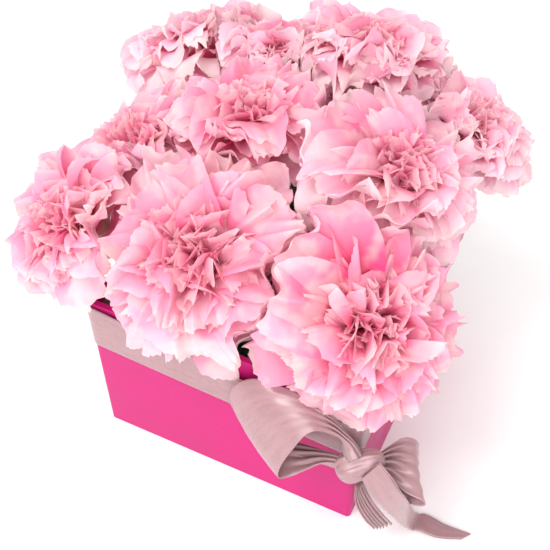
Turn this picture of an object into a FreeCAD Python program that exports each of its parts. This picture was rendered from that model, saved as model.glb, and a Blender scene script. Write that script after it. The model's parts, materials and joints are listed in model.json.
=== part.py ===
import FreeCAD, Part
import math
import os

from FreeCAD import Vector

# A square flower box: rigid board covered in paper, tied with a satin ribbon
# whose bow sits on one corner, and filled with carnations pushed into wet foam.
# Millimetres, +Z up. The origin is the centre of the underside.
# The front wall faces -Y, and the bow's corner is the front right one (+X, -Y).

# ---- driving dimensions -------------------------------------------------
BOX_SIDE = 130.0            # outside of the covered box
BOX_HEIGHT = 84.0
BOARD = 2.0                 # greyboard thickness
PAPER = 0.3                 # covering paper, glue included
CORNER_R = 2.0              # outside radius of the upright corners
TURN_IN = 15.0              # how far the covering is turned over the rim

LINER_GAP = 0.4             # liner clear of the papered walls
LINER_WALL = 0.5
LINER_TOP = 78.0
FOAM_GAP = 0.3
FOAM_TOP = 64.0

STEM_R = 2.0
STEM_HOLE_R = 2.05
STEM_CLEAR_OF_APEX = 20.0   # stems stop this far short of the point they all aim at
CALYX_LENGTH = 20.0
CALYX_TOP_R = 5.6
CALYX_BELLY_R = 5.9
CALYX_FOOT_R = 3.4
NECK_R = 13.0               # flat underside of a bloom, round its calyx
BLOOM_UNDER = 0.50          # depth of a bloom below its middle, as a share of its radius
BLOOM_OVER = 0.62           # and above it
BLOOM_RIM = 0.08            # the widest circle lies this far below the middle
BLOOM_GAP = 0.4             # between neighbouring flowers

RIBBON_T = 0.6              # modelled thickness of the satin
BAND_T = 1.2                # the band is folded double along its top edge

# Every stem lies on a straight line from this point, so each flower keeps to its
# own sector and can be drawn out along its stem without meeting a neighbour.
APEX = Vector(0.0, 0.0, 24.0)

# the middle of each bloom, its radius, and how far it hangs below its stem's line
FLOWERS = {
    "front_left": (-82.0, -44.0, 104.0, 34.0, 10.0),
    "front_middle": (-19.0, -38.0, 106.0, 46.0, 0.0),
    "front_right": (55.0, -38.0, 98.0, 40.0, 0.0),
    "side_left": (-74.0, 4.0, 112.0, 34.0, 0.0),
    "centre": (-25.0, 18.0, 136.0, 32.0, 0.0),
    "side_right": (45.0, 18.0, 130.0, 36.0, 0.0),
    "back_left": (-77.0, 75.0, 130.0, 34.0, 0.0),
    "back_middle_left": (-31.0, 70.0, 140.0, 31.0, 0.0),
    "back_middle_right": (12.0, 60.0, 156.0, 33.0, 0.0),
    "back_right": (62.0, 64.0, 127.0, 34.0, 0.0),
    "back_low": (8.0, 74.0, 112.0, 31.0, 0.0),
}

# height of the band's lower and upper edge at each corner, going round the box
BAND_EDGES = {
    "left_front": (58.0, 83.0),
    "right_front": (49.5, 70.0),
    "right_back": (55.0, 79.0),
    "left_back": (57.0, 82.0),
}

# the knot, on the front right corner
KNOT = Vector(70.5, -70.5, 57.0)
KNOT_HALF = Vector(6.5, 6.5, 10.0)

# Each ribbon strip is given by pairs of points, one on each selvage, along it.
LOOP_LEFT = [
    ((66.0, -71.0, 58.0), (67.0, -75.0, 62.0)),
    ((57.0, -68.5, 72.5), (60.0, -72.0, 68.0)),
    ((45.0, -68.5, 80.0), (52.5, -76.5, 75.0)),
    ((33.0, -69.0, 83.0), (48.0, -80.0, 74.5)),
    ((20.0, -69.5, 82.0), (44.5, -84.5, 68.5)),
    ((11.0, -71.5, 74.0), (40.5, -87.5, 57.5)),
    ((9.0, -71.5, 63.0), (39.5, -87.0, 47.5)),
    ((14.0, -70.0, 55.5), (43.5, -83.0, 46.0)),
    ((26.0, -69.5, 51.5), (48.5, -79.5, 49.0)),
    ((42.0, -69.5, 50.0), (55.0, -76.0, 53.0)),
    ((64.0, -71.0, 53.0), (65.5, -74.5, 54.5)),
]
LOOP_RIGHT = [
    ((73.0, -68.5, 60.0), (75.0, -72.5, 58.0)),
    ((77.0, -61.5, 61.5), (80.5, -71.5, 55.0)),
    ((81.0, -54.5, 60.0), (88.0, -73.0, 51.5)),
    ((85.0, -51.5, 57.0), (96.5, -72.5, 49.5)),
    ((86.5, -50.0, 51.5), (96.5, -71.0, 43.5)),
    ((83.5, -49.5, 46.5), (91.0, -69.5, 39.0)),
    ((79.0, -54.0, 46.0), (85.0, -68.0, 41.5)),
    ((76.0, -61.5, 50.0), (78.0, -69.0, 48.0)),
    ((73.0, -68.5, 54.0), (73.5, -70.0, 52.5)),
]
TAIL_FRONT = [
    ((77.0, -75.5, 67.5), (71.5, -76.0, 54.5)),
    ((83.5, -77.5, 63.5), (75.5, -78.0, 51.0)),
    ((87.5, -77.0, 56.5), (80.0, -77.5, 44.5)),
    ((91.0, -73.5, 46.0), (85.0, -74.5, 34.5)),
    ((92.5, -64.0, 26.0), (88.5, -69.0, 20.5)),
    ((94.0, -49.5, 0.9), (93.0, -59.0, 0.9)),
    ((106.0, -49.5, 0.9), (104.0, -57.5, 0.9)),
    ((117.5, -49.0, 0.9), (114.0, -53.5, 0.9)),
]
TAIL_BACK = [
    ((71.0, -73.5, 47.0), (68.5, -74.5, 45.5)),
    ((76.0, -74.0, 38.0), (70.0, -75.5, 33.0)),
    ((81.5, -72.0, 27.0), (74.0, -74.0, 21.0)),
    ((85.0, -67.0, 14.0), (78.0, -70.0, 9.0)),
]

# ---- derived sizes ------------------------------------------------------
HALF = BOX_SIDE / 2
BOARD_OUT = HALF - PAPER
BOARD_IN = BOARD_OUT - BOARD
LINING_IN = BOARD_IN - PAPER
FLOOR = PAPER + BOARD                   # top of the base board
LINER_FLOOR = FLOOR + PAPER             # the liner stands on the lining
FOAM_FLOOR = LINER_FLOOR + LINER_WALL
LINER_OUT = LINING_IN - LINER_GAP
LINER_R = 5.0
FOAM_OUT = LINER_OUT - LINER_WALL - FOAM_GAP


def save(shape, node):
    shape.exportStep("parts/%s.step" % node)


def square_block(half, radius, z0, z1):
    """An upright block, square in plan, with rounded upright edges."""
    block = Part.makeBox(2 * half, 2 * half, z1 - z0, Vector(-half, -half, z0))
    if radius <= 0:
        return block
    upright = [e for e in block.Edges if abs(e.Vertexes[0].Z - e.Vertexes[-1].Z) > 0.01]
    return block.makeFillet(radius, upright)


def only_solid(shape):
    """The one solid of a shape, with no compound left round it."""
    return max(shape.Solids, key=lambda s: s.Volume)


# ---- the rigid box ------------------------------------------------------
def base_cover():
    return square_block(HALF, CORNER_R, 0, PAPER)


def base_board():
    return square_block(BOARD_OUT, CORNER_R - PAPER, PAPER, FLOOR)


def wall_boards():
    """Front and back run the full width; the sides stand between them."""
    top = BOX_HEIGHT - PAPER
    shell = square_block(BOARD_OUT, CORNER_R - PAPER, FLOOR, top)
    shell = shell.cut(square_block(BOARD_IN, 0, FLOOR, top))
    height = top - FLOOR
    boards = {}
    for name, side in (("front", -1), ("back", 1)):
        y0 = -BOARD_OUT if side < 0 else BOARD_IN
        slab = Part.makeBox(2 * BOARD_OUT, BOARD, height, Vector(-BOARD_OUT, y0, FLOOR))
        boards["wall_" + name] = only_solid(shell.common(slab))
    for name, side in (("left", -1), ("right", 1)):
        x0 = -BOARD_OUT if side < 0 else BOARD_IN
        boards["wall_" + name] = Part.makeBox(
            BOARD, 2 * BOARD_IN, height, Vector(x0, -BOARD_IN, FLOOR)
        )
    return boards


def covering():
    """Paper on the outside, turned over the rim and down the inside."""
    outside = square_block(HALF, CORNER_R, PAPER, BOX_HEIGHT)
    boards = square_block(BOARD_OUT, CORNER_R - PAPER, PAPER, BOX_HEIGHT - PAPER)
    hollow = square_block(BOARD_IN, 0, BOX_HEIGHT - PAPER, BOX_HEIGHT)
    turned = square_block(BOARD_IN, 0, BOX_HEIGHT - TURN_IN, BOX_HEIGHT)
    turned = turned.cut(square_block(LINING_IN, 0, BOX_HEIGHT - TURN_IN, BOX_HEIGHT))
    return only_solid(outside.cut(boards).cut(hollow).fuse(turned).removeSplitter())


def lining():
    """A paper tray that covers the inside walls and floor up to the turn-in."""
    top = BOX_HEIGHT - TURN_IN
    tray = square_block(BOARD_IN, 0, FLOOR, top)
    return tray.cut(square_block(LINING_IN, 0, FLOOR + PAPER, top))


# ---- the insert ---------------------------------------------------------
def liner():
    outer = square_block(LINER_OUT, LINER_R, LINER_FLOOR, LINER_TOP)
    inner = square_block(LINER_OUT - LINER_WALL, LINER_R - LINER_WALL, FOAM_FLOOR, LINER_TOP)
    return outer.cut(inner)


def foam(stem_lines):
    """The foam block, with a blind hole for every stem."""
    block = square_block(FOAM_OUT, LINER_R - LINER_WALL - FOAM_GAP, FOAM_FLOOR, FOAM_TOP)
    for start, axis in stem_lines:
        block = block.cut(Part.makeCylinder(STEM_HOLE_R, BOX_SIDE, start, axis))
    return only_solid(block)


# ---- the flowers --------------------------------------------------------
def axis_of(name):
    """A flower's stem direction, and how far along it its bloom's middle is."""
    x, y, z, radius, hang = FLOWERS[name]
    axis = (Vector(x, y, z + hang) - APEX).normalize()
    return axis, (Vector(x, y, z) - APEX).dot(axis)


def turned_about_axis(profile, axis, base):
    """Spin a closed (radius, distance) outline about the line through base."""
    solid = Part.Face(Part.Wire(profile)).revolve(Vector(0, 0, 0), Vector(0, 0, 1), 360)
    solid.Placement = FreeCAD.Placement(base, FreeCAD.Rotation(Vector(0, 0, 1), axis))
    return solid


def point(radius, along):
    return Vector(radius, 0, along)


def bloom(name):
    """A domed head of petals, held back to its own sector by its neighbours."""
    x, y, z, radius, hang = FLOWERS[name]
    axis, middle = axis_of(name)
    foot = -BLOOM_UNDER * radius
    crown = BLOOM_OVER * radius
    rim = -BLOOM_RIM * radius
    # the dome is part of a sphere centred on the flower's own line
    rise = crown - rim
    dome_r = (radius * radius + rise * rise) / (2 * rise)
    dome_middle = crown - dome_r
    half_way = math.atan2(radius, rim - dome_middle) / 2
    shoulder = point(dome_r * math.sin(half_way), dome_middle + dome_r * math.cos(half_way))
    outline = [
        Part.makeLine(point(0, foot), point(NECK_R, foot)),
        Part.makeLine(point(NECK_R, foot), point(radius, rim)),
        Part.Arc(point(radius, rim), shoulder, point(0, crown)).toShape(),
        Part.makeLine(point(0, crown), point(0, foot)),
    ]
    head = turned_about_axis(outline, axis, Vector(x, y, z))
    above_box = Vector(0, 0, BOX_HEIGHT + BLOOM_GAP)
    head = head.common(half_space(above_box, Vector(0, 0, 1)))
    for other in FLOWERS:
        if other == name:
            continue
        apart = (axis - axis_of(other)[0]).normalize()
        head = head.common(half_space(APEX + apart * (BLOOM_GAP / 2), apart))
    return only_solid(head)


def half_space(at, normal):
    """A large block that fills the side of a plane its normal points to."""
    size = 600.0
    block = Part.makeBox(size, size, size, Vector(-size / 2, -size / 2, 0))
    block.Placement = FreeCAD.Placement(at, FreeCAD.Rotation(Vector(0, 0, 1), normal))
    return block


def calyx(name):
    axis, middle = axis_of(name)
    top = middle - BLOOM_UNDER * FLOWERS[name][3]
    foot = top - CALYX_LENGTH
    belly = point(CALYX_BELLY_R, foot + 0.6 * CALYX_LENGTH)
    outline = [
        Part.makeLine(point(0, foot), point(CALYX_FOOT_R, foot)),
        Part.Arc(point(CALYX_FOOT_R, foot), belly, point(CALYX_TOP_R, top)).toShape(),
        Part.makeLine(point(CALYX_TOP_R, top), point(0, top)),
        Part.makeLine(point(0, top), point(0, foot)),
    ]
    return turned_about_axis(outline, axis, APEX)


def stem(name):
    axis, middle = axis_of(name)
    top = middle - BLOOM_UNDER * FLOWERS[name][3] - CALYX_LENGTH
    start = APEX + axis * STEM_CLEAR_OF_APEX
    return Part.makeCylinder(STEM_R, top - STEM_CLEAR_OF_APEX, start, axis)


def stem_depth(name):
    """How much of the stem is in the foam, along the stem."""
    axis = axis_of(name)[0]
    return (FOAM_TOP - APEX.z) / axis.z - STEM_CLEAR_OF_APEX


# ---- the ribbon ---------------------------------------------------------
def ribbon_band():
    """The band round the box, its height changing from corner to corner."""
    outer = square_block(HALF + BAND_T, CORNER_R + BAND_T, 0, BOX_HEIGHT)
    ring = outer.cut(square_block(HALF, CORNER_R, 0, BOX_HEIGHT))
    reach = HALF + BAND_T
    names = list(BAND_EDGES)
    band = None
    for k in range(4):
        low0, high0 = BAND_EDGES[names[k]]
        low1, high1 = BAND_EDGES[names[(k + 1) % 4]]
        # the front side, seen from outside, then turned to its place
        face = Part.Face(Part.makePolygon([
            Vector(-reach, -reach, low0),
            Vector(reach, -reach, low1),
            Vector(reach, -reach, high1),
            Vector(-reach, -reach, high0),
            Vector(-reach, -reach, low0),
        ]))
        side = face.extrude(Vector(0, reach, 0))
        wedge = Part.Face(Part.makePolygon([
            Vector(0, 0, 0),
            Vector(-2 * reach, -2 * reach, 0),
            Vector(2 * reach, -2 * reach, 0),
            Vector(0, 0, 0),
        ])).extrude(Vector(0, 0, BOX_HEIGHT))
        side = side.common(wedge)
        side.rotate(Vector(0, 0, 0), Vector(0, 0, 1), 90 * k)
        side = ring.common(side)
        band = side if band is None else band.fuse(side)
    return only_solid(band.removeSplitter())


def strip(pairs):
    """A strip of ribbon through pairs of selvage points, as one thin solid."""
    rows = []
    last = len(pairs) - 1
    for k, (a, b) in enumerate(pairs):
        before = pairs[max(k - 1, 0)]
        after = pairs[min(k + 1, last)]
        along = (Vector(*after[0]) + Vector(*after[1])) - (Vector(*before[0]) + Vector(*before[1]))
        edge_a = Vector(*a)
        edge_b = Vector(*b)
        half = along.cross(edge_b - edge_a).normalize() * (RIBBON_T / 2)
        rows.append([edge_a + half, edge_b + half, edge_b - half, edge_a - half])
    outlines = [rows[0], rows[last]]
    for row, following in zip(rows, rows[1:]):
        for j in range(4):
            k = (j + 1) % 4
            outlines.append([row[j], row[k], following[j]])
            outlines.append([row[k], following[k], following[j]])
    shell = Part.Shell([Part.Face(Part.makePolygon(o + o[:1])) for o in outlines])
    solid = Part.Solid(shell)
    if solid.Volume < 0:
        solid = Part.Solid(shell.reversed())
    return solid


def knot(band):
    """The gathered turn of ribbon that holds the bow, pressed against the band."""
    ball = Part.makeSphere(1.0)
    stretch = FreeCAD.Matrix()
    stretch.scale(KNOT_HALF.x, KNOT_HALF.y, KNOT_HALF.z)
    ball = ball.transformGeometry(stretch)
    ball.translate(KNOT)
    box = square_block(HALF, CORNER_R, 0, BOX_HEIGHT)
    return only_solid(ball.cut(box).cut(band))


def bow():
    """The band, the knot, two loops and two tails, all meeting face to face."""
    pieces = {"ribbon_band": ribbon_band()}
    pieces["ribbon_knot"] = knot(pieces["ribbon_band"])
    strips = (
        ("ribbon_loop_left", LOOP_LEFT),
        ("ribbon_loop_right", LOOP_RIGHT),
        ("ribbon_tail_front", TAIL_FRONT),
        ("ribbon_tail_back", TAIL_BACK),
    )
    for name, pairs in strips:
        solid = strip(pairs)
        for earlier in pieces.values():
            solid = solid.cut(earlier)
        pieces[name] = only_solid(solid)
    return pieces


# ---- build --------------------------------------------------------------
def main():
    os.makedirs("parts", exist_ok=True)
    save(base_cover(), "base_cover")
    save(base_board(), "base_board")
    for node, board in wall_boards().items():
        save(board, node)
    save(covering(), "paper_covering")
    save(lining(), "paper_lining")
    save(liner(), "liner_tray")
    stem_lines = []
    for name in FLOWERS:
        axis = axis_of(name)[0]
        stem_lines.append((APEX + axis * STEM_CLEAR_OF_APEX, axis))
        save(bloom(name), "bloom_" + name)
        save(calyx(name), "calyx_" + name)
        save(stem(name), "stem_" + name)
        print("%s stem in foam %.1f mm, axis %s" % (name, stem_depth(name), axis))
    save(foam(stem_lines), "foam_block")
    for node, solid in bow().items():
        save(solid, node)
        print(node, round(solid.Volume), solid.isValid())


main()
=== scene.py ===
import json
import math

import bpy
import numpy as np
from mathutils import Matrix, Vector


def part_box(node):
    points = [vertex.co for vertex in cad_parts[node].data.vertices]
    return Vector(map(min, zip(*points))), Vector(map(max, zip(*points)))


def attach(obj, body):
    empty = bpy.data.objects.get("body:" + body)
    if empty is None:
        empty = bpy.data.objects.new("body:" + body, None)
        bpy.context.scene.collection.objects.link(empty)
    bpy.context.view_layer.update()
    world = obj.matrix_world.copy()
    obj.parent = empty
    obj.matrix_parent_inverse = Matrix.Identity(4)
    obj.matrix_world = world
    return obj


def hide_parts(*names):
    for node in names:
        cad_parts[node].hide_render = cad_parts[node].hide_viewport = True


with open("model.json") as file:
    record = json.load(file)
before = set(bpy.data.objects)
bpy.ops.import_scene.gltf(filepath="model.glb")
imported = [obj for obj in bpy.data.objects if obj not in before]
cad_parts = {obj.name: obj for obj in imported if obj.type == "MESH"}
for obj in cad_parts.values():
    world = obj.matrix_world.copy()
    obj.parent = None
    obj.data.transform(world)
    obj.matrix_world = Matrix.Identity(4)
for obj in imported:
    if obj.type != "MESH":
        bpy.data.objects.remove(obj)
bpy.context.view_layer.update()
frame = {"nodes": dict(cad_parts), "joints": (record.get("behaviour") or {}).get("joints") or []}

# A paper-covered box of carnations, tied with a satin ribbon. Metres, +Z up, in the
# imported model's own frame. The box, insert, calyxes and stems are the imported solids
# with better materials; the petals and the ribbon are made here.

MM = 0.001

# ---- the view -------------------------------------------------------------
CAMERA_AT = Vector((0.1167, -0.2496, 0.3385))
CAMERA_AZIMUTH = math.radians(25.88)
CAMERA_ELEVATION = math.radians(44.18)
CAMERA_LENS = 53.0

# ---- the flowers ----------------------------------------------------------
STEM_POINT = np.array([0.0, 0.0, 24.0]) * MM     # every stem's line starts here
BOX_SIDE = 130.0 * MM
BOX_RIM = 84.0 * MM
PRESSED = 1.26              # petals are this much longer than the way to the next flower
BLOOM_DEPTH = 1.12          # foot to crown, as a share of the radius
BLOOM_OVER = 0.62           # middle to crown
BLOOM_UNDER = 0.50
SPREAD_INTO_GAPS = 1.50     # petals may reach this much further where there is room
SPREAD_INSIDE = 2.0         # and this much over the middle of the box
INSIDE = 42.0 * MM          # half the width of that middle
ROWS = 13                   # points along a petal
COLUMNS = 41                # and across it
NEIGHBOUR_GAP = 0.25 * MM   # each flower stays this far inside its own sector
SQUEEZE = 3.0 * MM          # petals start to give way this far from a neighbour
SQUEEZED_UP = 0.55          # and rise by this share of what they give way
WAVE_HEIGHT = 3.4 * MM      # the border between two flowers swings this far
WAVE_LENGTH = 30.0 * MM
RIM_CLEAR = 1.2 * MM        # petals stay this far off the box
BAND_CLEAR = 1.6 * MM       # and this much further off its walls, outside the band
BOX_SOFTNESS = 6.0 * MM     # how gently they bend away from it
OVERHANG = 2.0 * MM         # long petals reach this far past its right-hand wall
CALYX_SPREAD = 1.5 * MM     # petals start this far from the calyx's middle
CURL = 0.30                 # how far a petal's edge rolls back, as a share of its half width
PETAL_START = 0.45          # how straight petals leave the calyx
TURNED_INNER = 2.2          # how soon, from outside in, petals stand round the face

# rings of petals from the outside in: how many, angle from the middle of the face,
# half width, reach, how far the ends bend back, how crumpled they are, and how far
# in the ring is, from 0 to 1
RINGS = (
    (9, 113.0, 0.43, 1.02, 54.0, 0.052, 0.00),
    (10, 99.0, 0.42, 1.05, 50.0, 0.060, 0.00),
    (10, 85.0, 0.40, 1.05, 44.0, 0.066, 0.06),
    (10, 71.0, 0.38, 1.04, 35.0, 0.090, 0.16),
    (9, 57.0, 0.40, 1.02, 25.0, 0.105, 0.32),
    (9, 44.0, 0.39, 0.98, 15.0, 0.120, 0.52),
    (8, 31.0, 0.36, 0.93, 8.0, 0.125, 0.74),
    (6, 19.0, 0.32, 0.87, 4.0, 0.120, 0.90),
    (4, 7.0, 0.26, 0.80, 2.0, 0.088, 1.00),
)

# each flower: the way its face is turned from its stem's line, the way one of its
# outer petals points, how deep its pink is, and the start of its random draws
FLOWERS = {
    "front_left": ((0.45, -0.50, 0.10), (-0.5, -0.75, -0.4), 0.62, 11),
    "front_middle": ((0.30, -0.20, 0.0), (0.75, 0.60, 0.0), 0.50, 12),
    "front_right": ((0.0, 0.0, 0.2), (0.34, -0.77, -0.54), 1.00, 13),
    "side_left": ((0.50, -0.45, 0.0), (0.6, -0.7, 0.0), 0.52, 14),
    "centre": ((0.35, -0.40, 0.0), (0.2, -0.9, 0.2), 0.75, 15),
    "side_right": ((-0.25, -0.50, 0.0), (-0.50, -0.80, 0.35), 0.12, 16),
    "back_left": ((0.45, -0.60, 0.0), (-0.5, -0.2, -0.3), 0.15, 17),
    "back_middle_left": ((0.25, -0.60, 0.0), (-0.2, -0.9, 0.1), 0.15, 18),
    "back_middle_right": ((0.15, -0.60, 0.0), (0.6, -0.6, 0.1), 0.20, 19),
    "back_right": ((-0.30, -0.60, 0.0), (0.9, -0.2, -0.2), 0.10, 20),
    "back_low": ((0.0, 0.30, 0.0), (0.1, 0.9, -0.2), 0.50, 21),
}

# flowers whose petals stand out further, or less far, on the open side of the bunch
FULLER = {"side_left": 0.30, "back_middle_left": -0.15, "back_middle_right": -0.15}
OUTWARD = np.array((-0.75, 0.25, 0.60))

# ---- the ribbon -----------------------------------------------------------
RIBBON_WIDTH = 38.0 * MM
RIBBON_THICK = 0.30 * MM
BAND_OFF = 0.35 * MM        # the band stands this far off the paper
BAND_OUT = 0.5 * MM         # its body stands this much further off
BAND_THICK = 0.2 * MM
BAND_LOOSE = 1.5 * MM       # and its top edge this much more, half way along a wall
BAND_RIPPLE = 0.35 * MM
BAND_CORNER = 3.0 * MM      # the radius it is bent to at the box's corners
FOLD_UNDER = 12.5 * MM      # this much of it is turned under at its top edge
LAYER_GAP = 0.65 * MM       # between the layers of a folded tail
GATHERED = 1.9              # pleats stand this much deeper where the ribbon is drawn tight
FLOOR_CLEAR = 0.35 * MM     # the tail lies this far off the floor
SELVAGE = 0.035             # width of a selvage, as a share of the ribbon's
ARCH = 0.04                 # how far a strip crowns across, as a share of its width
KNOT_HALF_LENGTH = 10.5 * MM
KNOT_DEEP = 5.6 * MM
KNOT_HIGH = 6.2 * MM

# pairs of points along each strip, one on each selvage, in millimetres
LOOP_LEFT = [
    ((66.0, -71.0, 58.0), (67.0, -75.0, 62.0)),
    ((57.0, -68.5, 72.5), (60.0, -72.0, 68.0)),
    ((45.0, -68.5, 80.0), (52.5, -76.5, 75.0)),
    ((33.0, -69.0, 83.0), (48.0, -80.0, 74.5)),
    ((20.0, -69.5, 82.0), (44.5, -84.5, 68.5)),
    ((11.0, -71.5, 74.0), (40.5, -87.5, 57.5)),
    ((9.0, -71.5, 63.0), (39.5, -87.0, 47.5)),
    ((14.0, -70.0, 55.5), (43.5, -83.0, 46.0)),
    ((26.0, -69.5, 51.5), (48.5, -79.5, 49.0)),
    ((42.0, -69.5, 50.0), (55.0, -76.0, 53.0)),
    ((64.0, -71.0, 53.0), (65.5, -74.5, 54.5)),
]
LOOP_RIGHT = [
    ((73.0, -68.5, 60.0), (75.0, -72.5, 58.0)),
    ((77.0, -61.5, 61.5), (80.5, -71.5, 55.0)),
    ((81.0, -54.5, 60.0), (88.0, -73.0, 51.5)),
    ((85.0, -51.5, 57.0), (96.5, -72.5, 49.5)),
    ((86.5, -50.0, 51.5), (96.5, -71.0, 43.5)),
    ((83.5, -49.5, 46.5), (91.0, -69.5, 39.0)),
    ((79.0, -54.0, 46.0), (85.0, -68.0, 41.5)),
    ((76.0, -61.5, 50.0), (78.0, -69.0, 48.0)),
    ((73.0, -68.5, 54.0), (73.5, -70.0, 52.5)),
]
TAIL_FRONT = [
    ((77.0, -75.5, 67.5), (71.5, -76.0, 54.5)),
    ((83.5, -77.5, 63.5), (75.5, -78.0, 51.0)),
    ((87.5, -77.0, 56.5), (80.0, -77.5, 44.5)),
    ((91.0, -73.5, 46.0), (85.0, -74.5, 34.5)),
    ((92.5, -64.0, 26.0), (88.5, -69.0, 20.5)),
    ((94.0, -49.5, 0.9), (93.0, -59.0, 0.9)),
    ((106.0, -49.5, 0.9), (104.0, -57.5, 0.9)),
    ((117.5, -49.0, 0.9), (114.0, -53.5, 0.9)),
]
TAIL_BACK = [
    ((71.0, -73.5, 47.0), (68.5, -74.5, 45.5)),
    ((76.0, -74.0, 38.0), (70.0, -75.5, 33.0)),
    ((81.5, -72.0, 27.0), (74.0, -74.0, 21.0)),
    ((85.0, -67.0, 14.0), (78.0, -70.0, 9.0)),
]


# ---- small helpers --------------------------------------------------------
def unit(v):
    v = np.asarray(v, float)
    return v / np.linalg.norm(v, axis=-1, keepdims=True)


def smooth(low, high, x):
    """0 at low, 1 at high, and an easy curve between."""
    s = np.clip((x - low) / (high - low), 0.0, 1.0)
    return s * s * (3 - 2 * s)


def cad_points(node):
    """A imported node's corner points."""
    mesh = frame["nodes"][node].data
    points = np.empty(len(mesh.vertices) * 3)
    mesh.vertices.foreach_get("co", points)
    return points.reshape(-1, 3)


def make_mesh(name, points, faces, uvs=None, attributes=None):
    """A smooth-shaded mesh object, with per-point uvs and float attributes."""
    mesh = bpy.data.meshes.new(name)
    mesh.from_pydata([tuple(p) for p in points], [], [tuple(f) for f in faces])
    for key, values in (attributes or {}).items():
        layer = mesh.attributes.new(key, "FLOAT", "POINT")
        layer.data.foreach_set("value", np.asarray(values, np.float32))
    if uvs is not None:
        loops = np.empty(len(mesh.loops), np.int32)
        mesh.loops.foreach_get("vertex_index", loops)
        layer = mesh.uv_layers.new(name="along")
        layer.data.foreach_set("uv", np.asarray(uvs, np.float32)[loops].ravel())
    mesh.polygons.foreach_set("use_smooth", [True] * len(mesh.polygons))
    mesh.update()
    piece = bpy.data.objects.new(name, mesh)
    bpy.context.scene.collection.objects.link(piece)
    return piece


def grid_faces(rows, columns, start=0, wrap=False):
    """Four-sided faces over a grid of points numbered row by row."""
    k = np.arange(rows * columns).reshape(rows, columns) + start
    if wrap:
        k = np.concatenate([k, k[:1]])
    return np.stack([k[:-1, :-1], k[:-1, 1:], k[1:, 1:], k[1:, :-1]], -1).reshape(-1, 4)


def thicken(piece, thickness):
    solid = piece.modifiers.new("thickness", "SOLIDIFY")
    solid.thickness = thickness
    solid.offset = 0
    solid.use_even_offset = False


# ---- materials ------------------------------------------------------------
class Paint:
    """A node material in the making."""

    def __init__(self, name):
        self.material = bpy.data.materials.new(name)
        self.material.use_nodes = True
        self.tree = self.material.node_tree
        self.tree.nodes.clear()
        self.output = self.tree.nodes.new("ShaderNodeOutputMaterial")

    def node(self, kind, values=None, **settings):
        made = self.tree.nodes.new("ShaderNode" + kind)
        for key, value in settings.items():
            setattr(made, key, value)
        for key, value in (values or {}).items():
            if isinstance(value, bpy.types.NodeSocket):
                self.tree.links.new(value, made.inputs[key])
            else:
                made.inputs[key].default_value = value
        return made

    def place(self, scale):
        """Object coordinates, stretched."""
        at = self.node("TexCoord").outputs["Object"]
        return self.node("Mapping", {"Vector": at, "Scale": scale}).outputs["Vector"]

    def along(self, scale):
        """A strip's own coordinates, stretched."""
        at = self.node("UVMap", uv_map="along").outputs["UV"]
        return self.node("Mapping", {"Vector": at, "Scale": scale}).outputs["Vector"]

    def noise(self, at, scale, detail=3.0, roughness=0.5):
        values = {"Vector": at, "Scale": scale, "Detail": detail, "Roughness": roughness}
        return self.node("TexNoise", values).outputs["Fac"]

    def value(self, key):
        return self.node("Attribute", attribute_name=key).outputs["Fac"]

    def between(self, x, low, high, to_low=0.0, to_high=1.0):
        values = {0: x, 1: low, 2: high, 3: to_low, 4: to_high}
        return self.node("MapRange", values, interpolation_type="SMOOTHSTEP").outputs["Result"]

    def math(self, operation, a, b=0.0):
        return self.node("Math", {0: a, 1: b}, operation=operation).outputs[0]

    def mix(self, factor, a, b, blend="MIX"):
        made = self.node("Mix", {0: factor, 6: a, 7: b}, data_type="RGBA", blend_type=blend)
        return made.outputs[2]

    def bump(self, height, strength, distance):
        made = self.node("Bump", {"Height": height, "Strength": strength, "Distance": distance})
        return made.outputs["Normal"]

    def finish(self, values, surface=None):
        shader = self.node("BsdfPrincipled", values)
        out = surface(shader) if surface else shader.outputs[0]
        self.tree.links.new(out, self.output.inputs["Surface"])
        return self.material


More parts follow.
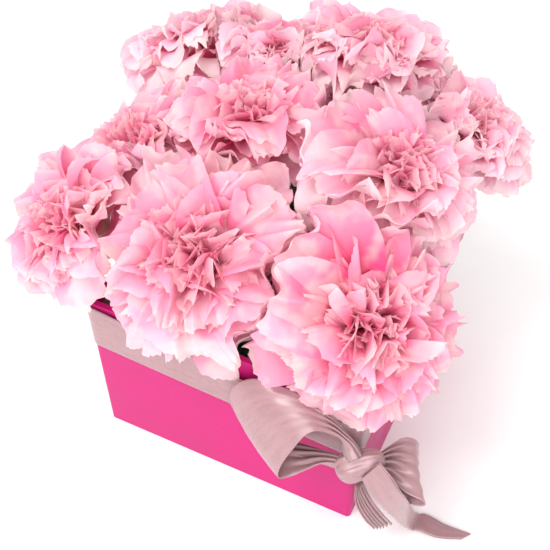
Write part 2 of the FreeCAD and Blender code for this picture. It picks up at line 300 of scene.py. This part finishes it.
def petal_material():
    p = Paint("carnation_petal")
    along = p.value("along")
    depth = p.value("depth")
    inner = p.value("inner")
    streaks = p.noise(p.along((42.0, 1.6, 1.0)), 1.0, 4.0, 0.6)
    patches = p.noise(p.place((1, 1, 1)), 70.0, 2.0, 0.5)
    # cream at the claw, deep pink in the throat, pale towards the edge; the throat's deep pink is partly
    # the petals' own colour and partly painted shade, the saturated pink of the shaded hollows between
    # petals
    deep = p.mix(depth, (0.96, 0.24, 0.48, 1), (0.92, 0.07, 0.28, 1))
    pale = p.mix(depth, (1.00, 0.78, 0.86, 1), (0.99, 0.54, 0.70, 1))
    # painted shade: inner petals keep their deep pink further along and get a pinker pale colour, for
    # the saturated pink of the shaded middle of the bloom
    pale = p.mix(p.math("MULTIPLY", inner, 0.75), pale, (0.99, 0.38, 0.58, 1))
    fade = p.between(p.math("ADD", along, p.math("MULTIPLY", inner, -0.12)), 0.38, 0.92)
    colour = p.mix(fade, deep, pale)
    edge = p.between(p.math("ADD", along, p.math("MULTIPLY", streaks, 0.10)), 0.93, 1.04)
    colour = p.mix(p.math("MULTIPLY", edge, 0.65), colour, (0.99, 0.84, 0.82, 1))
    outer = p.math("MULTIPLY", p.math("SUBTRACT", 1.0, inner), p.between(patches, 0.45, 0.62))
    colour = p.mix(p.math("MULTIPLY", outer, 0.60), colour, (1.00, 0.86, 0.82, 1))
    vein = p.between(streaks, 0.25, 0.75, 0.95, 1.03)
    colour = p.mix(1.0, colour, vein_colour(p, vein), "MULTIPLY")
    # painted shade: the inner petals' claws are deep pink, for the saturated shade in the bloom's
    # throat; the outer petals' claws are cream
    foot = p.mix(inner, (0.95, 0.74, 0.62, 1), (0.90, 0.16, 0.30, 1))
    colour = p.mix(p.between(along, 0.10, 0.30), foot, colour)
    normal = p.bump(streaks, 0.35, 0.35 * MM)

    def thin(shader):
        through = p.node("BsdfTranslucent", {"Color": colour, "Normal": normal})
        return p.node("MixShader", {0: 0.48, 1: shader.outputs[0], 2: through.outputs[0]}).outputs[0]

    return p.finish(
        {"Base Color": colour, "Roughness": 0.58, "Normal": normal, "Specular IOR Level": 0.25,
         "Sheen Weight": 0.12},
        thin,
    )


def vein_colour(p, level):
    return p.node("CombineColor", {0: level, 1: level, 2: level}).outputs[0]


def paper_material(name, colour, dark):
    """Smooth laminated paper, a little uneven from the board and glue under it."""
    p = Paint(name)
    at = p.place((1, 1, 1))
    cloudy = p.noise(at, 38.0, 3.0, 0.5)
    fibres = p.noise(p.place((1, 1, 0.3)), 2200.0, 3.0, 0.6)
    shade = p.mix(p.between(cloudy, 0.35, 0.68), dark, colour)
    shade = p.mix(p.between(fibres, 0.30, 0.70, 0.0, 0.05), shade, (0.98, 0.35, 0.60, 1))
    rough = p.between(cloudy, 0.3, 0.7, 0.30, 0.42)
    height = p.math("ADD", p.math("MULTIPLY", cloudy, 0.8), p.math("MULTIPLY", fibres, 0.06))
    return p.finish({
        "Base Color": shade, "Roughness": rough, "Normal": p.bump(height, 0.22, 0.5 * MM),
        "Coat Weight": 0.03, "Coat Roughness": 0.22, "Specular IOR Level": 0.20,
    })


def satin_material():
    """Woven satin: fine threads across, long floats along, and a corded selvage."""
    p = Paint("satin_ribbon")
    warp = p.noise(p.along((700.0, 9.0, 1.0)), 1.0, 2.0, 0.5)
    weft = p.noise(p.along((20.0, 900.0, 1.0)), 1.0, 2.0, 0.5)
    broad = p.noise(p.along((14.0, 3.0, 1.0)), 1.0, 2.0, 0.5)
    selvage = p.value("selvage")
    threads = p.math("ADD", p.math("MULTIPLY", warp, 0.7), p.math("MULTIPLY", weft, 0.3))
    colour = p.mix(p.between(broad, 0.3, 0.7), (0.295, 0.155, 0.170, 1), (0.345, 0.185, 0.205, 1))
    colour = p.mix(p.between(threads, 0.35, 0.65, 0.0, 0.35), colour, (0.42, 0.25, 0.27, 1))
    colour = p.mix(p.math("MULTIPLY", selvage, 0.35), colour, (0.50, 0.26, 0.31, 1))
    height = p.math("ADD", p.math("MULTIPLY", threads, 0.5), p.math("MULTIPLY", selvage, 0.9))
    rough = p.between(threads, 0.3, 0.7, 0.24, 0.34)
    return p.finish({
        "Base Color": colour, "Roughness": rough, "Normal": p.bump(height, 0.18, 0.12 * MM),
        "Specular IOR Level": 0.85, "Sheen Weight": 0.20, "Sheen Roughness": 0.35,
    })


def board_material():
    p = Paint("greyboard")
    flecks = p.noise(p.place((1, 1, 4)), 900.0, 5.0, 0.7)
    broad = p.noise(p.place((1, 1, 1)), 60.0)
    colour = p.mix(p.between(flecks, 0.35, 0.7), (0.24, 0.23, 0.21, 1), (0.42, 0.40, 0.36, 1))
    colour = p.mix(p.between(broad, 0.3, 0.7, 0.0, 0.3), colour, (0.48, 0.45, 0.40, 1))
    return p.finish({"Base Color": colour, "Roughness": 0.9, "Normal": p.bump(flecks, 0.5, 0.2 * MM)})


def foam_material():
    """Wet floral foam: tiny open cells and a few larger crumbs."""
    p = Paint("floral_foam")
    at = p.place((1, 1, 1))
    cells = p.node("TexVoronoi", {"Vector": at, "Scale": 1400.0}).outputs["Distance"]
    crumbs = p.noise(at, 220.0, 4.0, 0.6)
    colour = p.mix(p.between(crumbs, 0.35, 0.65), (0.010, 0.055, 0.022, 1), (0.035, 0.14, 0.055, 1))
    # painted shade: the colour is darker in the cells' pits, as shade in the open pores
    colour = p.mix(p.between(cells, 0.1, 0.5, 0.4, 0.0), colour, (0.008, 0.035, 0.014, 1))
    height = p.math("ADD", cells, p.math("MULTIPLY", crumbs, 0.8))
    return p.finish({"Base Color": colour, "Roughness": 0.85, "Normal": p.bump(height, 0.7, 0.4 * MM)})


def liner_material():
    """Thin clear plastic, slightly hazed and scuffed."""
    p = Paint("clear_liner")
    haze = p.noise(p.place((1, 1, 0.4)), 240.0, 4.0, 0.6)
    colour = p.mix(p.between(haze, 0.35, 0.7), (0.86, 0.90, 0.90, 1), (0.96, 0.98, 0.98, 1))
    rough = p.between(haze, 0.3, 0.7, 0.12, 0.30)
    return p.finish({
        "Base Color": colour, "Roughness": rough, "IOR": 1.46, "Transmission Weight": 0.75,
        "Normal": p.bump(haze, 0.15, 0.2 * MM),
    })


def green_material(name, light, dark, scale):
    """Waxy green plant skin with fine lengthwise streaks and a pale bloom."""
    p = Paint(name)
    streaks = p.noise(p.place((3.0, 3.0, 0.35)), scale, 4.0, 0.6)
    bloom = p.noise(p.place((1, 1, 1)), 90.0, 3.0, 0.5)
    colour = p.mix(p.between(streaks, 0.3, 0.7), dark, light)
    colour = p.mix(p.between(bloom, 0.45, 0.75, 0.0, 0.4), colour, (0.36, 0.46, 0.34, 1))
    rough = p.between(bloom, 0.3, 0.7, 0.42, 0.62)
    return p.finish({"Base Color": colour, "Roughness": rough, "Normal": p.bump(streaks, 0.4, 0.3 * MM)})


def floor_material():
    p = Paint("studio_floor")
    grain = p.noise(p.place((1, 1, 1)), 30.0)
    colour = p.mix(p.between(grain, 0.3, 0.7), (0.90, 0.90, 0.90, 1), (0.92, 0.92, 0.92, 1))
    return p.finish({"Base Color": colour, "Roughness": 0.8, "Specular IOR Level": 0.1})


# ---- petals ---------------------------------------------------------------
def spine(points, s):
    """A Bezier curve through four control points, and its direction, at each s."""
    a, b, c, d = points
    s = s[:, None]
    r = 1 - s
    at = a * r**3 + 3 * b * r * r * s + 3 * c * r * s * s + d * s**3
    way = (b - a) * r * r + 2 * (c - b) * r * s + (d - c) * s * s
    return at, unit(way)


def petal(rng, foot, tip, end_way, wide, face_in, half_width, ruffle, fold, length):
    """One fan-shaped petal: a narrow claw that opens to a ruffled, toothed edge.

    foot and tip are its ends, end_way the way it points at its edge, wide its
    sideways direction, and face_in the way its inner side looks at its edge.
    """
    t = np.linspace(-1, 1, COLUMNS)
    s_rows = np.linspace(0, 1, ROWS) ** 0.85
    # the edge is a rounded fan with fine teeth and a few deeper notches
    teeth = rng.uniform(-1, 1, COLUMNS)
    teeth[1::2] -= 1.3
    notch = np.interp(t, np.linspace(-1, 1, 9), rng.uniform(-1, 1, 9))
    rounded = 1.0 - 0.22 * np.abs(t) ** 3
    reach = rounded + 0.010 * teeth + 0.030 * notch
    S = s_rows[:, None] * reach[None, :]
    T = np.broadcast_to(t, S.shape)
    # the edge's teeth fade out a little way in
    plain = s_rows[:, None] * rounded[None, :]
    S = plain + (S - plain) * smooth(0.80, 1.0, s_rows)[:, None]

    flat = S.ravel()
    at, way = spine(
        (foot, foot + length[0], tip - end_way * np.linalg.norm(tip - foot) * 0.42, tip),
        np.clip(flat, 0, 1),
    )
    over = np.maximum(flat - 1, 0)[:, None]
    at = at + way * over * np.linalg.norm(tip - foot)
    across = unit(wide - way * (way @ wide)[:, None])
    inward = np.cross(way, across)
    inward = inward * np.sign(inward[-1] @ face_in)

    fan = 0.10 + 0.90 * smooth(0.15, 0.88, s_rows) ** 0.85
    half = half_width * np.broadcast_to(fan[:, None], S.shape).ravel()
    tt = T.ravel()
    open_ = np.clip((flat - 0.42) / 0.58, 0, 1.2) ** 1.5
    waves = rng.uniform(1.3, 2.3)
    fine = rng.uniform(4.0, 6.0)
    phase = rng.uniform(0, 6.28, 4)
    big = np.sin(waves * math.pi * tt + phase[0]) + 0.55 * np.sin(1.7 * waves * math.pi * tt + phase[1])
    small = np.sin(fine * math.pi * tt + phase[2] + 1.5 * np.sin(2.3 * tt + phase[3]))
    lift = ruffle * (big * open_ + 0.60 * small * open_**4)
    cup = fold * half * (np.abs(tt) ** 1.6 - 0.3) * (0.35 + 0.65 * (1 - open_ * 0.5))
    sway = 0.10 * half * np.cos(waves * math.pi * tt + phase[0]) * open_
    curl = -CURL * half_width * np.clip((flat - 0.72) / 0.28, 0, 1.2) ** 2 * rng.uniform(0.3, 1.2)
    side = half * tt * (1 - 0.18 * abs(fold)) + sway
    points = at + across * side[:, None] + inward * (lift + cup + curl)[:, None]
    return points, flat, tt


def borders(name, axes):
    """What bounds a flower's sector: for each neighbour the plane's normal, the way
    across the flowers' pull in that plane, and the phase and sign of its waves.

    The border is corrugated, so neighbours interlock, but its waves run along the
    way that both flowers are pulled, so that they part without meeting.
    """
    order = list(axes)
    found = []
    for other in order:
        if other == name:
            continue
        normal = unit(axes[name] - axes[other])
        first, second = sorted((order.index(name), order.index(other)))
        across = unit(np.cross(axes[order[first]], axes[order[second]]))
        sign = 1.0 if order.index(name) == first else -1.0
        found.append((normal, across, 1.7 * first + 2.9 * second, sign))
    return found


def past_border(points, border):
    """How far points are inside a border, with its waves."""
    normal, across, phase, sign = border
    at = (points - STEM_POINT) @ across
    wave = np.sin(at / WAVE_LENGTH * 2 * math.pi + phase)
    wave = wave + 0.5 * np.sin(at / WAVE_LENGTH * 4.6 * math.pi + 2 * phase)
    return (points - STEM_POINT) @ normal - NEIGHBOUR_GAP - sign * WAVE_HEIGHT * wave


def way_to_border(start, way, normal):
    """How far it is from start, along way, to a border's plane."""
    speed = -(way @ normal)
    return ((start - STEM_POINT) @ normal) / speed if speed > 1e-6 else 1e6


def clear_of_neighbours(points, own, around):
    """Petals give way towards a neighbour, and rise instead, as if pressed."""
    for turn in range(3):
        for border in around:
            distance = past_border(points, border)
            held = np.where(
                distance < SQUEEZE,
                SQUEEZE * np.exp((np.minimum(distance, SQUEEZE) - SQUEEZE) / SQUEEZE),
                distance,
            )
            shift = held - distance if turn == 0 else np.maximum(-distance, 0)
            rise = SQUEEZED_UP if turn == 0 else 0.0
            points = points + shift[:, None] * (border[0] + own * rise)
    return points


def clear_of_box(points):
    """Petals rest on the rim or hang outside it, and never enter the walls."""
    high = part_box("paper_covering")[1]
    half = high[0] + BAND_CLEAR
    rim = high[2]
    out_x = np.abs(points[:, 0]) - half
    out_y = np.abs(points[:, 1]) - half
    over = points[:, 2] - rim
    most = np.maximum(np.maximum(out_x, out_y), over)
    soft = RIM_CLEAR * np.exp((np.minimum(most, RIM_CLEAR) - RIM_CLEAR) / BOX_SOFTNESS)
    push = np.maximum(np.where(most < RIM_CLEAR, soft - most, 0), 0)
    which = np.argmax(np.stack([out_x, out_y, over]), 0)
    points = points.copy()
    for k in (0, 1):
        points[:, k] += np.where(which == k, push * np.sign(points[:, k]), 0)
    points[:, 2] += np.where(which == 2, push, 0)
    return points


def carnation(name, axes, material):
    turned, lead, depth, seed = FLOWERS[name]
    rng = np.random.default_rng(seed)
    axis = axes[name]
    head = cad_points("bloom_" + name)
    cup = cad_points("calyx_" + name)
    along = (cup - STEM_POINT) @ axis
    foot = STEM_POINT + axis * along.max()
    crown = head[np.argmax(head @ axis)]
    radius = (((crown - STEM_POINT) @ axis) - along.max()) / BLOOM_DEPTH
    middle = crown - axis * BLOOM_OVER * radius
    face = unit(axis + np.array(turned))
    lead = np.array(lead)
    around = borders(name, axes)

    points = []
    faces = []
    uvs = []
    values = {"along": [], "depth": [], "inner": []}
    for ring, (count, polar, half_width, reach, bend, ruffle, inner) in enumerate(RINGS):
        # the outer petals stand round the stem's line, the inner ones round the face
        to_face = min(1, TURNED_INNER * inner)
        pole = unit(axis * (1 - to_face) + face * to_face)
        ahead = unit(lead - pole * (pole @ lead))
        beside = np.cross(pole, ahead)
        turn = rng.uniform(0, 6.28) if ring else 0.0
        for k in range(count):
            azimuth = turn + (k + rng.uniform(-0.22, 0.22) * (ring > 0)) * 2 * math.pi / count
            angle = math.radians(polar + rng.uniform(-6, 6))
            side = ahead * math.cos(azimuth) + beside * math.sin(azimuth)
            u = pole * math.cos(angle) + side * math.sin(angle)
            back = -pole * math.sin(angle) + side * math.cos(angle)
            up = u @ axis
            tall = BLOOM_OVER if up > 0 else BLOOM_UNDER
            spread = np.linalg.norm(u - axis * up)
            dome = radius / math.sqrt(spread**2 + (up / tall) ** 2)
            dome *= 1 + FULLER.get(name, 0) * max(side @ OUTWARD, 0)
            far = dome * reach * rng.uniform(0.94, 1.05)
            room = min(way_to_border(middle, u, border[0]) for border in around)
            end = middle + u * far
            over_box = end[1] > -0.5 * BOX_SIDE and end[0] < 0.5 * BOX_SIDE + OVERHANG
            among = over_box and end[2] > BOX_RIM and room < 2 * radius
            if among:
                inside = max(abs(end[0]), abs(end[1])) < INSIDE
                most = SPREAD_INSIDE if inside else SPREAD_INTO_GAPS
                widest = far * (1 + (most - 1) * (1 - inner) ** 3)
                far = min(max(far, room * PRESSED), widest)
            broad = math.sqrt(far / dome)
            tip = middle + u * far
            way = math.radians(bend + rng.uniform(-10, 10))
            end_way = u * math.cos(way) + back * math.sin(way)
            twist = rng.uniform(-1, 1) * (0.15 + 0.75 * inner)
            wide = np.cross(u, back) * math.cos(twist) + back * math.sin(twist)
            fold = rng.uniform(0.15, 0.45) + inner * rng.uniform(-0.5, 0.8)
            rise = axis * np.linalg.norm(tip - foot) * PETAL_START + side * radius * 0.10
            p, s, t = petal(
                rng, foot + side * CALYX_SPREAD, tip, unit(end_way), wide, -back + face * 0.5,
                half_width * radius * max(broad, 1) * rng.uniform(0.88, 1.12),
                ruffle * radius * rng.uniform(0.75, 1.3), fold, (rise, 0),
            )
            faces.append(grid_faces(ROWS, COLUMNS, start=sum(map(len, points))))
            points.append(p)
            uvs.append(np.stack([t * 0.5 + rng.uniform(0, 50), s], -1))
            values["along"].append(s)
            values["depth"].append(np.full(len(s), np.clip(depth + rng.uniform(-0.15, 0.15), 0, 1)))
            values["inner"].append(np.full(len(s), inner))
    points = np.concatenate(points)
    points = clear_of_neighbours(points, axis, around)
    points = clear_of_box(points)
    piece = make_mesh(
        "petals_" + name, points, np.concatenate(faces), np.concatenate(uvs),
        {key: np.concatenate(v) for key, v in values.items()},
    )
    piece.data.materials.append(material)
    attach(piece, "flower_" + name)
    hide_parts("bloom_" + name)
    return piece


# ---- ribbon ---------------------------------------------------------------
def curve_through(points, count):
    """Evenly spaced points on a smooth curve through the given ones."""
    points = np.asarray(points, float)
    ends = np.concatenate([[2 * points[0] - points[1]], points, [2 * points[-1] - points[-2]]])
    fine = []
    for k in range(len(points) - 1):
        a, b, c, d = ends[k : k + 4]
        s = np.linspace(0, 1, 24, endpoint=k == len(points) - 2)[:, None]
        square = (2 * a - 5 * b + 4 * c - d) * s**2
        cube = (3 * b - a - 3 * c + d) * s**3
        fine.append(0.5 * (2 * b + (c - a) * s + square + cube))
    fine = np.concatenate(fine)
    steps = np.linalg.norm(np.diff((fine[:, :3] + fine[:, 3:]) / 2, axis=0), axis=1)
    far = np.concatenate([[0], np.cumsum(steps)])
    at = np.linspace(0, far[-1], count)
    return np.stack([np.interp(at, far, fine[:, j]) for j in range(6)], -1), far[-1]


def ribbon_strip(name, pairs, pleats, gathered, slack, material, seed, layers=1):
    """A strip of ribbon through pairs of selvage points, pleated where it narrows."""
    rows = 120
    columns = 33
    both = [np.concatenate([a, b]) * MM for a, b in pairs]
    line, length = curve_through(both, rows)
    left = line[:, :3]
    right = line[:, 3:]
    middle = (left + right) / 2
    way = unit(np.gradient(middle, axis=0))
    across = right - left
    width = np.linalg.norm(np.cross(way, across), axis=1)
    normal = unit(np.cross(way, across))
    rng = np.random.default_rng(seed)
    u = np.linspace(0, 1, columns)
    v = np.linspace(0, 1, rows)
    spare = np.sqrt(np.maximum(RIBBON_WIDTH**2 - (layers * width) ** 2, 0))
    deep = spare / (4 * pleats * layers)
    drawn = sum(smooth(span, 0.0, np.abs(v - end)) for end, span in gathered)
    weight = slack + (GATHERED - slack) * drawn
    phase = rng.uniform(0, 6.28)
    wave = np.sin(2 * math.pi * pleats * (u + 0.05 * np.sin(5 * u + phase)) + phase)
    wave = wave * np.sin(math.pi * np.clip(u, 0.04, 0.96)) ** 0.5
    lift = deep[:, None] * weight[:, None] * wave[None, :]
    arch = ARCH * width[:, None] * np.sin(math.pi * u)[None, :]
    # in layers, it runs out to a fold and back under itself
    share = 1 - np.abs((u * layers) % 2 - 1)
    if layers > 1:
        lift = lift * 0.3 + (0.5 - u) * (layers - 1) * LAYER_GAP
    points = left[:, None] + across[:, None] * share[None, :, None]
    points = points + normal[:, None] * (lift + arch)[..., None]
    lowest = FLOOR_CLEAR + u[None, :] * (layers - 1) * LAYER_GAP
    points[..., 2] = np.maximum(points[..., 2], lowest)
    uvs = np.stack(np.broadcast_arrays(u[None, :] * RIBBON_WIDTH, v[:, None] * length), -1)
    edge = np.clip(1 - np.minimum(u, 1 - u) / SELVAGE, 0, 1)
    piece = make_mesh(
        "satin_" + name, points.reshape(-1, 3), grid_faces(rows, columns),
        (uvs / RIBBON_WIDTH).reshape(-1, 2),
        {"selvage": np.broadcast_to(edge, (rows, columns)).ravel()},
    )
    thicken(piece, RIBBON_THICK)
    dress_ribbon(piece, "ribbon_" + name, material)
    return piece


def dress_ribbon(piece, node, material):
    piece.data.materials.append(material)
    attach(piece, "box")
    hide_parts(node)


def band_heights():
    """The band's lower and upper edge at each corner, going round from the front left."""
    points = cad_points("ribbon_band")
    heights = []
    for x, y in ((-1, -1), (1, -1), (1, 1), (-1, 1)):
        near = points[(points[:, 0] * x > 0.060) & (points[:, 1] * y > 0.060)]
        heights.append((near[:, 2].min(), near[:, 2].max()))
    return heights


def ribbon_band(material):
    """The band round the box, with its top edge turned under towards the paper."""
    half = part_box("paper_covering")[1][0]
    heights = band_heights()
    per_side = 60
    stations = []
    for k in range(4):
        low0, high0 = heights[k]
        low1, high1 = heights[(k + 1) % 4]
        for j in range(per_side):
            x = -1 + 2 * j / per_side
            z0 = low0 + (low1 - low0) * (x + 1) / 2
            z1 = high0 + (high1 - high0) * (x + 1) / 2
            stations.append((k * math.pi / 2, x, z0, z1))
    profile_u = np.linspace(0, 1, 28)
    rows = []
    for turn, x, z0, z1 in stations:
        c, s = math.cos(turn), math.sin(turn)
        width = z1 - z0
        # plan position on the rounded square, and its outward direction
        flat = half - BAND_CORNER
        along = x * half
        excess = abs(along) - flat
        if excess <= 0:
            plan = np.array([along, -half])
            out = np.array([0.0, -1.0])
        else:
            a = math.radians(45) * excess / BAND_CORNER
            out = np.array([math.sin(a) * np.sign(x), -math.cos(a)])
            plan = np.array([np.sign(x) * flat, -flat]) + out * BAND_CORNER
        loose = BAND_LOOSE * math.cos(math.pi * x / 2) ** 2
        ripple = BAND_RIPPLE * math.sin(7.3 * x + turn) * (1 - x * x)
        row = []
        total = width + FOLD_UNDER
        for q in profile_u * total:
            if q <= width:
                off = BAND_OFF + (BAND_OUT + loose * (q / width) ** 2) + ripple * (q / width)
                z = z0 + q
            else:
                back = q - width
                off = BAND_OFF + BAND_OUT + loose + ripple - min(back, 0.8 * MM) * 0.5
                off = max(off - loose * back / FOLD_UNDER * 0.9, 0.12 * MM)
                z = z1 - max(back - 0.3 * MM, 0)
            p = plan + out * (off + BAND_THICK)
            row.append((p[0] * c - p[1] * s, p[0] * s + p[1] * c, z))
        rows.append(row)
    points = np.array(rows)
    count = len(rows)
    lower_edge = np.concatenate([points, points[:1]])[:, 0]
    length = float(np.linalg.norm(np.diff(lower_edge, axis=0), axis=1).sum())
    v = np.arange(count) / count * length
    uvs = np.stack(np.broadcast_arrays(profile_u[None, :] * RIBBON_WIDTH, v[:, None]), -1)
    uvs = uvs / RIBBON_WIDTH
    edge = np.clip(1 - np.minimum(profile_u, 1 - profile_u) / SELVAGE, 0, 1)
    piece = make_mesh(
        "satin_band", points.reshape(-1, 3), grid_faces(count, len(profile_u), wrap=True),
        uvs.reshape(-1, 2), {"selvage": np.broadcast_to(edge, (count, len(profile_u))).ravel()},
    )
    thicken(piece, BAND_THICK)
    dress_ribbon(piece, "ribbon_band", material)


def ribbon_knot(material):
    """The tight turn that holds the bow, creased lengthwise and spread at its foot."""
    low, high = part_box("ribbon_knot")
    centre = np.array((low + high) / 2) + np.array([-2.0, -1.0, -1.0]) * MM
    rows = 96
    columns = 60
    a = np.linspace(0.02, math.pi - 0.02, columns)
    b = np.linspace(0, 2 * math.pi, rows, endpoint=False)
    A, B = np.meshgrid(a, b)
    x = np.cos(A)
    ring = np.sin(A) ** 0.75
    # narrow and tight at its right end, spread into a lip at its left
    left = unit([-0.80, -0.42, -0.42])
    toward = np.array([0.31, -0.65, 0.70])
    toward = unit(toward - left * (toward @ left))
    short_way = np.cross(toward, left)
    spread = 0.85 + 0.35 * smooth(-0.4, 1.0, x)
    crease = 0.075 * np.sin(6 * B + 1.2 * x) + 0.035 * np.sin(11 * B - 2.0 * x + 1.0)
    ring = ring * (1 + crease)
    points = (
        centre
        + (x * KNOT_HALF_LENGTH)[..., None] * left
        + (ring * spread * np.cos(B) * KNOT_DEEP)[..., None] * toward
        + (ring * spread * np.sin(B) * KNOT_HIGH)[..., None] * short_way
    )
    uvs = np.stack([A / math.pi, B / math.pi], -1)
    piece = make_mesh(
        "satin_knot", points.reshape(-1, 3), grid_faces(rows, columns, wrap=True), uvs.reshape(-1, 2),
        {"selvage": np.zeros(rows * columns)},
    )
    dress_ribbon(piece, "ribbon_knot", material)


# ---- put it together ------------------------------------------------------
def paint_cad_nodes():
    pink = paper_material("pink_paper", (0.50, 0.003, 0.148, 1), (0.46, 0.002, 0.135, 1))
    board = board_material()
    foam = foam_material()
    liner = liner_material()
    calyx = green_material("calyx_green", (0.30, 0.44, 0.20, 1), (0.16, 0.29, 0.11, 1), 420.0)
    stem = green_material("stem_green", (0.26, 0.38, 0.20, 1), (0.15, 0.26, 0.12, 1), 300.0)
    kinds = {
        "base_cover": pink, "paper_": pink, "base_board": board, "wall_": board,
        "foam_": foam, "liner_": liner, "calyx_": calyx, "stem_": stem,
    }
    for node, piece in frame["nodes"].items():
        for start, material in kinds.items():
            if node.startswith(start):
                piece.data.materials.clear()
                piece.data.materials.append(material)


def set_camera():
    camera = bpy.data.objects.new("camera", bpy.data.cameras.new("camera"))
    bpy.context.scene.collection.objects.link(camera)
    camera.data.lens = CAMERA_LENS
    camera.data.sensor_width = 36.0
    camera.data.clip_start = 0.01
    back = Vector((
        math.sin(CAMERA_AZIMUTH) * math.cos(CAMERA_ELEVATION),
        -math.cos(CAMERA_AZIMUTH) * math.cos(CAMERA_ELEVATION),
        math.sin(CAMERA_ELEVATION),
    ))
    camera.location = CAMERA_AT
    camera.rotation_mode = "QUATERNION"
    camera.rotation_quaternion = (-back).to_track_quat("-Z", "Y")
    bpy.context.scene.camera = camera


def area_light(name, at, look, size, power, colour):
    light = bpy.data.lights.new(name, "AREA")
    light.shape = "DISK"
    light.size = size
    light.energy = power
    light.color = colour
    lamp = bpy.data.objects.new(name, light)
    lamp.location = at
    lamp.rotation_mode = "QUATERNION"
    lamp.rotation_quaternion = (Vector(look) - Vector(at)).to_track_quat("-Z", "Y")
    bpy.context.scene.collection.objects.link(lamp)


def studio():
    world = bpy.data.worlds.new("studio")
    world.use_nodes = True
    world.node_tree.nodes["Background"].inputs["Color"].default_value = (1.0, 0.99, 0.98, 1)
    world.node_tree.nodes["Background"].inputs["Strength"].default_value = 0.95
    bpy.context.scene.world = world
    area_light("key", (-0.45, -0.60, 1.25), (0, 0, 0.08), 0.7, 10.0, (1.0, 0.985, 0.97))
    area_light("fill", (0.35, -1.0, 0.75), (0, 0, 0.10), 1.0, 9.0, (1.0, 1.0, 1.0))
    size = 6.0
    floor = make_mesh(
        "floor",
        [(-size, -size, 0), (size, -size, 0), (size, size, 0), (-size, size, 0)],
        [(0, 1, 2, 3)],
    )
    floor.data.materials.append(floor_material())
    bpy.context.scene.view_settings.view_transform = "Standard"


def main():
    paint_cad_nodes()
    axes = {}
    for joint in frame["joints"]:
        if joint["name"].startswith("pull_"):
            axes[joint["name"][5:]] = unit(joint["axis"])
    petals = petal_material()
    for name in FLOWERS:
        carnation(name, axes, petals)
    satin = satin_material()
    ribbon_band(satin)
    ribbon_knot(satin)
    ribbon_strip("loop_left", LOOP_LEFT, 5, ((0.0, 0.26), (1.0, 0.34)), 0.05, satin, 3)
    ribbon_strip("loop_right", LOOP_RIGHT, 5, ((0.0, 0.38), (1.0, 0.38)), 0.16, satin, 4)
    ribbon_strip("tail_front", TAIL_FRONT, 2, ((0.0, 0.9), (1.0, 0.3)), 0.3, satin, 5, layers=3)
    ribbon_strip("tail_back", TAIL_BACK, 5, ((0.0, 0.3),), 0.85, satin, 6)
    set_camera()
    studio()


main()
